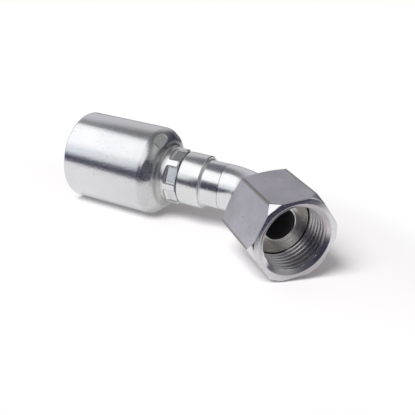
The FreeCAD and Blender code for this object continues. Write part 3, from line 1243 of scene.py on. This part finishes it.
@dataclass
class SwivelNut(Piece):
    """The hexagonal nut that turns on the tube behind the seal sleeve."""

    sleeve: SealSleeve
    wall: float = 2.3
    back_wall: float = 5.35
    mouth_depth: float = 12.35
    front_corner_cut: float = 1.55
    front_chamfer_degrees: float = 57.0
    rear_corner_cut: float = 2.62
    rear_chamfer_degrees: float = 30.0
    turn_degrees: float = 8.0
    sleeve_clearance: float = 0.1
    thread_pitch: float = 1.814
    thread_height: float = 0.541
    thread_samples: int = 24
    thread_start: float = 0.1
    mouth_flare: float = 0.8
    mouth_flare_degrees: float = 30.0
    relief_flare: float = 0.1
    running_clearance: float = 0.08
    shoulder_clearance: float = 0.15
    hole_edge: float = 0.5
    corner_round: float = 0.35
    edge_blend: float = 0.12
    edge_round: float = 0.3
    mouth_lip: float = 0.12
    crowding: float = 0.9

    node = "swivel_nut"
    slot = "plated_nut"
    body = "nut"
    chamfer_rows = (-1.0, -0.5, 0.0, 0.1, 0.2, 0.35, 0.6, 0.85, 0.95, 1.0)
    plain_from = 1.5
    rim_soft = 0.15
    hollow_soft = 0.1

    def __post_init__(self) -> None:
        """Works out what follows from the sizes."""
        self.minor_r = self.sleeve.outer_r + self.sleeve_clearance
        self.major_r = self.minor_r + self.thread_height * self.thread_pitch
        self.mouth_r = self.major_r + self.mouth_flare
        self.flats = 2 * (self.major_r + self.wall)
        # The radius on both end faces at which the outside starts.
        self.inner_circle = (self.mouth_r + self.flats / 2) / 2
        self.front = self.sleeve.face + self.mouth_depth
        self.shoulder = self.sleeve.back - self.shoulder_clearance
        self.rear = self.shoulder - self.back_wall

    def end_points(self) -> tuple[list[Point], list[Point]]:
        """The rows of one end of the outside.

        Returns:
            The rows of the face and the chamfer, then those of the flats up to the nut's middle, each a
            (share of the chamfer, distance past it).
        """
        past = [self.edge_blend * share for share in (0.0, 0.25, 0.5, 0.8, 1.2, 1.7)]
        past += [self.edge_round * share for share in (0.8, 1.0, 1.3)]
        length = self.front - self.rear
        chamfer = [(share, 0.0) for share in self.chamfer_rows]
        return chamfer, [(1.0, p) for p in (*sorted(past), self.plain_from, length / 4, length)]

    def outside(self, front: bool, common: dict[str, float]) -> dict[str, float]:
        """The sizes of one end of the outside.

        Args:
            front: True for the open end.
            common: The sizes that all the nut's surfaces share.

        Returns:
            The named inputs of a hexagonal surface.
        """
        cut = self.front_corner_cut if front else self.rear_corner_cut
        chamfer = self.front_chamfer_degrees if front else self.rear_chamfer_degrees
        return {
            **common,
            "Flats": self.flats,
            "Face Radius": self.flats / math.sqrt(3) - cut,
            "Chamfer Slope": math.tan(math.radians(chamfer)),
            "Inner Circle": self.inner_circle,
            "Corner Round": self.corner_round,
            "Edge Blend": self.edge_blend,
            "Edge Round": self.edge_round,
            "Half Length": (self.front - self.rear) / 2,
            "End": self.front if front else self.rear,
            "Inwards": -1.0 if front else 1.0,
        }

    def thread_points(self, start: float, end: float) -> list[Point]:
        """The rows of the thread.

        Args:
            start: Where it starts, along the path.
            end: Where it ends.

        Returns:
            Points of (turns, share of the pitch).
        """
        rows = math.ceil(((end - start) / self.thread_pitch + 1) * self.thread_samples) + 1
        return [(i / self.thread_samples, i / self.thread_samples % 1) for i in range(rows + 1)]

    def surfaces(self) -> Skins:
        """Draws the nut.

        Returns:
            Both ends of the outside, the front rim, the thread and the hollow, each with its finish.
        """
        hole = self.path.tube_r + self.running_clearance
        relief = self.major_r + self.relief_flare
        lip, mouth = self.mouth_lip, self.mouth_r
        slope = math.tan(math.radians(self.mouth_flare_degrees))
        start = self.sleeve.face + self.thread_start - (relief - self.minor_r)
        end = self.front - lip * slope
        common = {"Spin": math.radians(self.turn_degrees + 30), "Crowding": self.crowding}
        chamfer, flats = self.end_points()
        thread = {
            **common,
            "Thread Start": start,
            "Thread End": end,
            "Pitch": self.thread_pitch,
            "Minor": self.minor_r,
            "Major": self.major_r,
            "Mouth": mouth - lip,
            "Mouth Slope": slope,
            "Relief": relief,
        }
        rim = [(end, mouth - lip), (self.front, mouth), (self.front, self.inner_circle)]
        hollow = [
            (self.rear, self.inner_circle),
            (self.rear, hole + self.hole_edge),
            (self.rear + self.hole_edge, hole),
            (self.shoulder, hole),
            (self.shoulder, relief),
            (start, relief),
        ]
        satin = Plating(
            "satin_bar_zinc", Grain.DRAWN, (0.63, 0.61, 0.665), (0.55, 0.535, 0.58),
            roughness=0.50, drift=0.12, marks=0.008, peel=0.02, peel_size=1.6,
        )
        cut = Plating(
            "bright_cut_zinc", Grain.TURNED, (0.74, 0.74, 0.76), (0.70, 0.70, 0.73),
            roughness=0.14, drift=0.08, mark_pitch=0.4,
        )
        threaded = Plating(
            "threaded_zinc", Grain.TURNED, (0.76, 0.74, 0.77), (0.68, 0.66, 0.70),
            roughness=0.16, drift=0.04, marks=0.0, peel=0.001, pits=0.0,
            shade_dark=0.05, shaded_rough=0.12, shade_tint=0.0,
        )
        made: Skins = []
        for name, front in (("front", True), ("rear", False)):
            sizes = self.outside(front, common)
            made.append((HexSurface(f"nut_{name}_chamfer", chamfer, sizes=sizes), cut))
            made.append((HexSurface(f"nut_{name}_flats", flats, sizes=sizes), satin))
        return [
            *made,
            (NutSurface("nut_rim", soften(rim, self.rim_soft), sizes=common), cut),
            (ThreadSurface("nut_thread", self.thread_points(start, end), sizes=thread), threaded),
            (NutSurface("nut_hollow", soften(hollow, self.hollow_soft), sizes=common), cut),
        ]


# Studio


DARK: Colour = (0.045, 0.045, 0.075)
WHITE: Colour = (1.0, 1.0, 1.0)


@dataclass(frozen=True)
class SoftPanel:
    """A soft-edged light panel, far away, that only reflections show. Its angles are in degrees."""

    azimuth: float
    elevation: float
    width: float
    height: float
    edge: float
    colour: Colour
    strength: float

    in_front = (0.02, 0.1)

    def mask(self, graph: Graph, direction: Sock) -> Sock:
        """How much of the panel lies in a direction.

        Args:
            graph: The world's tree.
            direction: The direction looked in.

        Returns:
            1 inside the panel, falling to 0 across its edge.
        """
        turned = Matrix.Rotation(math.radians(-self.azimuth), 3, "Z")
        turned = turned @ Matrix.Rotation(math.radians(self.elevation), 3, "X")
        axes = (tuple(axis) for axis in turned.transposed())
        across, depth, above = (graph.vector("DOT_PRODUCT", direction, axis, output="Value") for axis in axes)
        inside, ahead = depth.smooth(*self.in_front), depth.most(self.in_front[0])
        for off, degrees in ((across, self.width), (above, self.height)):
            half = math.tan(math.radians(degrees / 2))
            inside = inside * (1.0 - (abs(off) / ahead).smooth(half - self.edge, half + self.edge))
        return inside


@dataclass(frozen=True)
class Studio:
    """A pale sheet to lie on, soft light from the front, and a room that only metal shows.

    Lengths are in metres. Fades are distances at which a change starts and ends.
    """

    sheet: float = 0.5
    paper: Colour = (0.78, 0.775, 0.775)
    glow: float = 0.03
    glow_colour: Colour = (1.0, 0.985, 0.995)
    fade: tuple[float, float] = (0.075, 0.125)
    fade_oval: float = 1.7
    # Nearer than y = x * slope + place, reflections show the sheet painted dark, a painted dark reflection.
    # The third is the edge's softness.
    mirrored_edge: tuple[float, float, float] = (0.27, -0.0535, 0.005)
    # How much reflections show the sheet as evenly lit, how brightly, and where they show a painted shade on
    # it, darker and pinker.
    mirrored_even: float = 0.5
    mirrored_tone: float = 0.84
    mirrored_colour: Colour = (0.995, 1.0, 0.985)
    mirrored_shade: Colour = (0.25, 0.20, 0.21)
    shade_place: tuple[float, float] = (0.062, -0.014)
    shade_fade: tuple[float, float] = (0.006, 0.026)
    fill: Colour = (0.42, 0.395, 0.405)
    key_watts: float = 5.3
    key_size: float = 0.36
    key_place: tuple[float, float, float] = (-0.10, -0.42, 0.50)
    room: tuple[tuple[float, Colour], ...] = (
        (0.0, DARK),
        (0.56, DARK),
        (0.74, (0.15, 0.15, 0.17)),
        (0.90, (0.20, 0.20, 0.22)),
        (1.0, (0.18, 0.18, 0.20)),
    )
    panels: tuple[SoftPanel, ...] = (
        SoftPanel(-32, 24, 56, 46, 0.22, (0.98, 0.97, 1.0), 0.68),
        SoftPanel(-78, 0, 62, 52, 0.25, (0.98, 0.96, 1.0), 0.57),
        SoftPanel(84, 38, 40, 40, 0.55, (0.99, 1.0, 0.94), 0.85),
        SoftPanel(-122, 22, 72, 30, 0.10, (0.96, 1.0, 1.02), 1.0),
        SoftPanel(-146, 50.5, 92, 49, 0.12, WHITE, 1.32),
    )

    def build(self) -> None:
        """Makes the sheet, the lamp and the world."""
        self._lay_sheet()
        self._hang_key()
        self._paint_world()

    def _lay_sheet(self) -> None:
        """Lays the pale sheet under the fitting."""
        half = self.sheet / 2
        mesh = bpy.data.meshes.new("sheet")
        outline = [(-half, -half, 0), (half, -half, 0), (half, half, 0), (-half, half, 0)]
        mesh.from_pydata(outline, [], [(0, 1, 2, 3)])
        mesh.materials.append(self._paper())
        sheet = add_object("sheet", mesh)

    def _paper(self) -> bpy.types.Material:
        """Writes the sheet's material, which fades to plain white for the camera only, and which reflections
        show with a painted shade and a painted dark stretch.

        Returns:
            The new material.
        """
        made = bpy.data.materials.new("pale_sheet")
        graph = Graph.cleared(made)
        camera = graph.make("ShaderNodeLightPath", None, "Is Camera Ray")
        glossy = camera.also("Is Glossy Ray")
        x, y, _ = graph.parts(graph.make("ShaderNodeTexCoord", None, "Object"))
        paper = graph.make("ShaderNodeBsdfDiffuse", {"Color": self.paper})
        glow = graph.light(self.glow_colour, self.glow * camera)
        shown = graph.make("ShaderNodeAddShader", {0: paper, 1: glow})
        away = (x * x + (y * y) * self.fade_oval).root().smooth(*self.fade)
        shown = graph.mixed(camera * away, shown, graph.light(WHITE))
        # Painted shade beside the nut, which only reflections show.
        right, ahead = x - self.shade_place[0], y - self.shade_place[1]
        near = 1.0 - (right * right + ahead * ahead).root().smooth(*self.shade_fade)
        even = graph.light(graph.blend(near, self.mirrored_colour, self.mirrored_shade), self.mirrored_tone)
        shown = graph.mixed(self.mirrored_even * glossy, shown, even)
        # Painted dark reflection: nearer than the edge, reflections show the sheet dark.
        slope, place, soft = self.mirrored_edge
        beyond = (x * slope + place - y).smooth(-soft, soft)
        shown = graph.mixed(glossy * beyond, shown, graph.light(DARK))
        graph.make("ShaderNodeOutputMaterial", {"Surface": shown})
        made.cycles.emission_sampling = "NONE"
        return made

    def _hang_key(self) -> None:
        """Hangs the soft lamp up in front, aimed at the fitting."""
        lamp = bpy.data.lights.new("soft_key", "AREA")
        lamp.shape = "DISK"
        lamp.size = self.key_size
        lamp.energy = self.key_watts
        made = add_object("soft_key", lamp)
        made.location = self.key_place
        made.rotation_euler = (-made.location).to_track_quat("-Z", "Y").to_euler()
        made.visible_glossy = False

    def _paint_world(self) -> None:
        """Writes the world: white to the camera, an even fill on matt surfaces, the room in reflections."""
        world = bpy.data.worlds.new("studio")
        graph = Graph.cleared(world)
        direction = graph.make("ShaderNodeTexCoord", None, "Generated")
        height = graph.parts(graph.vector("NORMALIZE", direction))[2]
        room = graph.make("ShaderNodeValToRGB", {"Fac": height * 0.5 + 0.5}, stops=self.room)
        for panel in self.panels:
            lit = tuple(part * panel.strength for part in panel.colour)
            room = graph.blend(panel.mask(graph, direction), room, lit)
        camera = graph.make("ShaderNodeLightPath", None, "Is Camera Ray")
        plain = graph.blend(camera, self.fill, WHITE)
        colour = graph.blend(camera.also("Is Glossy Ray"), plain, room)
        background = graph.make("ShaderNodeBackground", {"Color": colour, "Strength": 1.0})
        graph.make("ShaderNodeOutputWorld", {"Surface": background})
        world.cycles.sampling_method = "NONE"
        bpy.context.scene.world = world


@dataclass(frozen=True)
class Viewpoint:
    """The place that the photograph was taken from."""

    place: tuple[float, float, float] = (85.788, -196.390, 95.402)
    azimuth: float = 22.167
    elevation: float = 21.426
    roll: float = 6.058
    lens: float = 50.65
    sensor: float = 36.0
    nearest: float = 5.0

    def build(self) -> None:
        """Makes the camera and hands it to the scene."""
        data = bpy.data.cameras.new("photo_camera")
        data.lens = self.lens
        data.sensor_width = self.sensor
        data.clip_start = self.nearest * MM
        turned = Matrix.Translation(Vector(self.place) * MM)
        for degrees, axis in ((self.azimuth, "Z"), (90 - self.elevation, "X"), (self.roll, "Z")):
            turned = turned @ Matrix.Rotation(math.radians(degrees), 4, axis)
        camera = add_object("photo_camera", data)
        camera.matrix_world = turned
        bpy.context.scene.camera = camera


def main() -> None:
    """Builds the fitting, the studio and the camera."""
    logging.basicConfig(level=logging.INFO, format="%(name)s: %(message)s")
    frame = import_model()
    path = Path.from_frame(frame)
    shell = CrimpShell(path)
    stem = HoseStem(path, shell)
    tube = BentTube(path, stem)
    sleeve = SealSleeve(path, tube)
    for piece in (shell, stem, CollarBraze(path, stem), tube, sleeve, SwivelNut(path, sleeve)):
        piece.build()
    Studio().build()
    Viewpoint().build()
    bpy.context.scene.view_settings.view_transform = "Standard"


if __name__ == "__main__":
    main()
